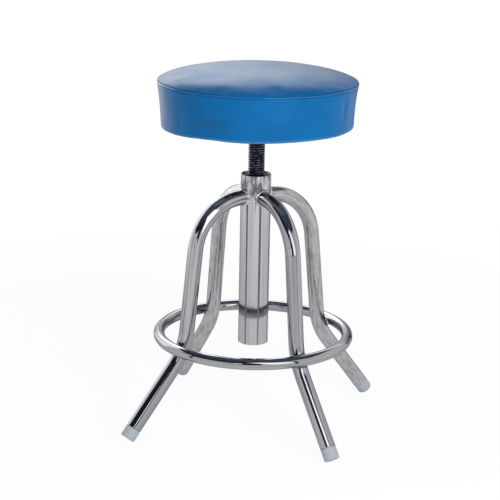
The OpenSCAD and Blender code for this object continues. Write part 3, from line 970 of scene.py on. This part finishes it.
# Seat cover. Blue vinyl over foam: a round top panel sewn to a side band, the
# band's lower edge pulled under the board, folded in small tucks and stapled.
# The foam pushes the skin out between its seams, which a cloth simulation gives.
seat_r = 164.5 * millimetre
rim_r = 158 * millimetre
seat_bottom = 509 * millimetre
side_height = 73 * millimetre
seam_height = 582 * millimetre
crown_edge = 583.6 * millimetre
crown_top = 605.6 * millimetre
crown_flatness = 2.58
crown_roundness = 0.72
side_draw = 1.2 * millimetre
hem_r = 2.5 * millimetre
flap_r = 130 * millimetre
cover_t = 1.2 * millimetre
seam_depth = 2.6 * millimetre
staple_count = 32
cover_sides = 216
vinyl_blue = (0.0012, 0.143, 0.402, 1)
vinyl_deep = (0.0010, 0.118, 0.345, 1)
vinyl_scuffed = (0.014, 0.084, 0.205, 1)
# Paler blue for the painted highlight along the hem's turn
vinyl_hem_painted_highlight = (0.050, 0.220, 0.470, 1)
vinyl_dusty = (0.110, 0.165, 0.215, 1)
vinyl_tone_scale = 16.0
vinyl_pore_scale = 850.0
vinyl_crease_scale = 420.0
scuff_scale = (14, 14, 190)
hem_highlight_from = 514.5 * millimetre
hem_highlight_to = 511.0 * millimetre
dust_from = 509.8 * millimetre
dust_to = 509.0 * millimetre

blue_vinyl, vinyl = new_finish("blue_vinyl")
vinyl_place = own_place(vinyl)
vinyl_tone = grain(vinyl, vinyl_place, vinyl_tone_scale, 5.0)
vinyl_tones = blend(vinyl, spread(vinyl, vinyl_tone, 0.32, 0.62), vinyl_deep, vinyl_blue)
# Level scuffs round the side, from knees and clothes
scuff_lines = grain(vinyl, vinyl_place, scuff_scale, 5.0, 0.6)
scuff_share = spread(vinyl, scuff_lines, 0.56, 0.72, high=0.30)


def scuffed_patch(place, half_size):
    """A soft oval patch on the side, from 0 outside it to 1 in its middle."""
    near = add_node(vinyl, "VectorMath", {0: vinyl_place, 1: place}, operation="SUBTRACT")
    scaled = add_node(vinyl, "VectorMath", {0: near.outputs[0], 1: half_size}, operation="DIVIDE")
    away = add_node(vinyl, "VectorMath", {0: scaled.outputs[0]}, operation="LENGTH")
    return spread(vinyl, away.outputs["Value"], 1.0, 0.2)


knee_patch = scuffed_patch((-0.040, -0.158, 0.536), (0.045, 0.060, 0.011))
hip_patch = scuffed_patch((-0.074, -0.146, 0.559), (0.026, 0.060, 0.004))
both_patches = combined(vinyl, "MAXIMUM", knee_patch, hip_patch)
patch_lines = spread(vinyl, scuff_lines, 0.40, 0.60, high=0.85)
patch_share = combined(vinyl, "MULTIPLY", both_patches, patch_lines)
scuff_most = combined(vinyl, "MAXIMUM", scuff_share, patch_share)
vinyl_colours = blend(vinyl, scuff_most, vinyl_tones, vinyl_scuffed)
# A painted highlight makes the turn of the hem pale, and dust has greyed the part
# under the board
cut_height = add_node(vinyl, "Attribute", attribute_name="cut_height").outputs["Fac"]
hem_highlight_share = spread(vinyl, cut_height, hem_highlight_from, hem_highlight_to, high=0.8)
hem_highlight_colours = blend(vinyl, hem_highlight_share, vinyl_colours, vinyl_hem_painted_highlight)
dust_share = spread(vinyl, cut_height, dust_from, dust_to, high=0.75)
vinyl_pores = cells(vinyl, vinyl_place, vinyl_pore_scale)
vinyl_creases = grain(vinyl, vinyl_place, vinyl_crease_scale, 3.0)
pore_bump = bump(vinyl, vinyl_pores, 0.25, 0.2 * millimetre)
dress(vinyl, {
    "Specular IOR Level": 0.12,
    "Base Color": blend(vinyl, dust_share, hem_highlight_colours, vinyl_dusty),
    "Roughness": spread(vinyl, vinyl_tone, 0.3, 0.7, low=0.26, high=0.36),
    "Normal": bump(vinyl, vinyl_creases, 0.2, 0.3 * millimetre, over=pore_bump),
})


def crown_height(radius):
    """Height of the seat's top at a distance from the axis."""
    across = 1 - min(1, radius / seat_r) ** crown_flatness
    return crown_edge + (crown_top - crown_edge) * across ** crown_roundness


def side_radius(height):
    """Distance of the seat's side from the axis at a height."""
    share = (height - seat_bottom) / side_height
    return rim_r + (seat_r - rim_r) * share - side_draw * math.sin(math.pi * share)


cover_outline = []
crown_rings = 22
crown_r = seat_r - 0.8 * millimetre
for k in range(crown_rings + 1):
    radius = crown_r * math.sin(math.radians(90 * k / crown_rings))
    cover_outline.append((radius, crown_height(radius)))
# The seam pulls the panels in round the piping: shares of its depth, at millimetres above it
seam_outline = [(0.70, 0.9), (1.00, 0.0), (0.70, -1.4), (0.15, -2.9)]
cover_outline += [
    (seat_r - share * seam_depth, seam_height + above * millimetre) for share, above in seam_outline
]
sewn_rings = range(crown_rings + 1, crown_rings + 4)
band_top = seam_height - 4.6 * millimetre
band_low = seat_bottom + hem_r
band_rings = 16
for k in range(band_rings + 1):
    height = band_top + (band_low - band_top) * k / band_rings
    cover_outline.append((side_radius(height), height))
hem_centre = side_radius(band_low) - hem_r
first_stapled_ring = len(cover_outline) + 4
for k in range(1, 4):
    turn = math.radians(90 * k / 3)
    cover_outline.append((hem_centre + hem_r * math.cos(turn), band_low - hem_r * math.sin(turn)))
flap_rings = 6
for k in range(1, flap_rings + 1):
    cover_outline.append((hem_centre + (flap_r - hem_centre) * k / flap_rings, seat_bottom))

cover_work = bmesh.new()
ring_of = cover_work.verts.layers.int.new("ring")
cut_at = cover_work.verts.layers.float.new("cut_height")
cover_corners = []
for number, (radius, height) in enumerate(cover_outline):
    corner = cover_work.verts.new((radius, 0, height))
    corner[ring_of] = number
    corner[cut_at] = height
    cover_corners.append(corner)
cover_joins = [cover_work.edges.new(pair) for pair in zip(cover_corners, cover_corners[1:])]
bmesh.ops.spin(
    cover_work, geom=cover_corners + cover_joins, cent=(0, 0, 0), axis=(0, 0, 1),
    angle=math.tau, steps=cover_sides, use_merge=True,
)
bmesh.ops.remove_doubles(cover_work, verts=cover_work.verts, dist=1e-6)
# The foam under the skin is never quite even: waves a metre and their height in millimetres
uneven_waves = [(17, 0.55), (46, 0.22)]
for vert in cover_work.verts:
    if vert[ring_of] < first_stapled_ring and vert[ring_of] not in sewn_rings:
        uneven = sum(noise.noise(vert.co * waves) * size for waves, size in uneven_waves)
        outward = Vector((vert.co.x, vert.co.y, 0))
        if vert[ring_of] <= crown_rings:
            outward = Vector((0, 0, 1))
        vert.co += outward.normalized() * uneven * millimetre
cover = shown_piece("blue_vinyl_seat_cover", cover_work, blue_vinyl, sharp=180)

swell_steps = 20
swell_most = 2.4 * millimetre
sewn = cover.vertex_groups.new(name="sewn_or_stapled")
rings = [item.value for item in cover.data.attributes["ring"].data]
held = [k for k, n in enumerate(rings) if n in sewn_rings or n >= first_stapled_ring]
sewn.add(held, 1.0, "REPLACE")
skin = cover.modifiers.new("foam_pressure", "CLOTH")
skin.settings.vertex_group_mass = sewn.name
skin.settings.quality = 6
skin.settings.tension_stiffness = 40
skin.settings.compression_stiffness = 40
skin.settings.bending_stiffness = 5
skin.settings.shrink_min = -0.0012
skin.settings.use_pressure = True
skin.settings.uniform_pressure_force = 1.6
skin.settings.effector_weights.gravity = 0
skin.point_cache.frame_start = 1
skin.point_cache.frame_end = swell_steps
for step in range(1, swell_steps + 1):
    bpy.context.scene.frame_set(step)
puffed = cover.evaluated_get(bpy.context.evaluated_depsgraph_get())
moves = [
    after.co - before.co
    for before, after in zip(cover.data.vertices, puffed.data.vertices)
]
cover.modifiers.remove(skin)
cover.vertex_groups.remove(sewn)
bpy.context.scene.frame_set(1)
for vert, move in zip(cover.data.vertices, moves):
    if move.length > swell_most:
        move = move.normalized() * swell_most
    vert.co += move

# Marks of use and of hand work, added on the swollen skin: a hem that isn't level,
# three creases in the side, and small tucks between the staples
# The hem's lift in millimetres at each bearing
hem_lifts = [
    (-180, -1.6), (-150, -2.4), (-135, -2.0), (-125, -1.2), (-112, 0.5), (-103, 1.0),
    (-92, 0.1), (-80, 0.0), (-66, 0.7), (-52, 1.3), (-40, 1.5), (-28, 1.0), (-12, 1.4),
    (10, 1.3), (60, 0.6), (120, -0.4), (180, -1.6),
]
hem_reach = 45 * millimetre
board_edge_r = 152.8 * millimetre
board_edge_fade = 2.6 * millimetre
flap_top = seat_bottom + 0.5 * millimetre
tuck_r = 141 * millimetre
tuck_half_length = 11 * millimetre
tuck_depth = 1.1 * millimetre
# Each crease's bearing and half width in degrees, then its depth and its lowest and
# highest point in millimetres
creases = [(-18.5, 1.7, 1.5, 530, 575), (-128, 2.2, 0.7, 512, 548), (-58, 2.6, 0.5, 510, 540)]
crease_inmost = 150 * millimetre
ridge_share = 0.45
ridge_off = 2.0


def hem_lift(bearing):
    """How far the hem sits above its level at a bearing, in millimetres."""
    for (left, low), (right, high) in zip(hem_lifts, hem_lifts[1:]):
        if left <= bearing <= right:
            share = (bearing - left) / (right - left)
            share = share * share * (3 - 2 * share)
            return low + (high - low) * share
    return 0


for vert in cover.data.vertices:
    bearing = math.degrees(math.atan2(vert.co.y, vert.co.x))
    radius = math.hypot(vert.co.x, vert.co.y)
    height = vert.co.z
    near_hem = max(0, 1 - (height - seat_bottom) / hem_reach)
    past_board = max(0, min(1, (radius - board_edge_r) / board_edge_fade))
    vert.co.z += hem_lift(bearing) * near_hem ** 1.5 * past_board * millimetre
    if height < flap_top:
        pull = -0.5 - 0.5 * math.cos(math.radians(bearing) * staple_count)
        middle = max(0, 1 - abs(radius - tuck_r) / tuck_half_length)
        vert.co.z += pull * tuck_depth * middle
    for place, half_width, depth, low, high in creases:
        off = (bearing - place) / half_width
        along = (height / millimetre - low) / (high - low)
        if abs(off) < 3 and 0 < along < 1 and radius > crease_inmost:
            dent = depth * math.exp(-off * off) * math.sin(math.pi * along) ** 0.7
            ridge = ridge_share * depth * math.exp(-(off - ridge_off) ** 2)
            dent -= ridge * math.sin(math.pi * along)
            vert.co.x *= 1 - dent * millimetre / radius
            vert.co.y *= 1 - dent * millimetre / radius

cover_smooth = cover.modifiers.new("finer_skin", "SUBSURF")
cover_smooth.levels = 1
cover_smooth.render_levels = 1
cover_wall = cover.modifiers.new("vinyl_thickness", "SOLIDIFY")
cover_wall.thickness = cover_t
cover_wall.offset = -1
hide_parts("cover_top", "cover_band", "seat_foam")
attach(cover, "seat")


# Piping. A thin cord covered in the same vinyl is sewn into the seam between
# the top panel and the side band. It is handled more, so it shines more.
piping_r = 1.25 * millimetre
piping_out = 0.7 * millimetre
piping_sides = 12
piping_waves = 28
piping_wave_height = 0.45 * millimetre

shiny_vinyl = blue_vinyl.copy()
shiny_vinyl.name = "blue_vinyl_rubbed_shiny"
shiny = shiny_vinyl.node_tree
shiny.links.remove(shiny.nodes["Principled BSDF"].inputs["Roughness"].links[0])
dress(shiny, {"Specular IOR Level": 0.7, "Roughness": 0.15})

piping_work = bmesh.new()
piping_cut = piping_work.verts.layers.float.new("cut_height")
bmesh.ops.create_circle(piping_work, cap_ends=False, segments=piping_sides, radius=piping_r)
turn_all(piping_work, 90, "X")
piping_place = (seat_r - piping_r + piping_out, 0, seam_height)
bmesh.ops.translate(piping_work, vec=piping_place, verts=piping_work.verts)
spin_round(piping_work, (0, 0, 1), cover_sides)
for vert in piping_work.verts:
    vert[piping_cut] = seam_height
    sewn_wave = noise.noise(Vector((vert.co.x, vert.co.y, 0)) * piping_waves)
    vert.co.z += sewn_wave * piping_wave_height
piping = shown_piece("blue_vinyl_piping", piping_work, shiny_vinyl)
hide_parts("seam_welt")
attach(piping, "seat")


# Staples. Flat wire staples hold the turned-under vinyl to the board.
give_finish("cover_staples", zinc_steel)
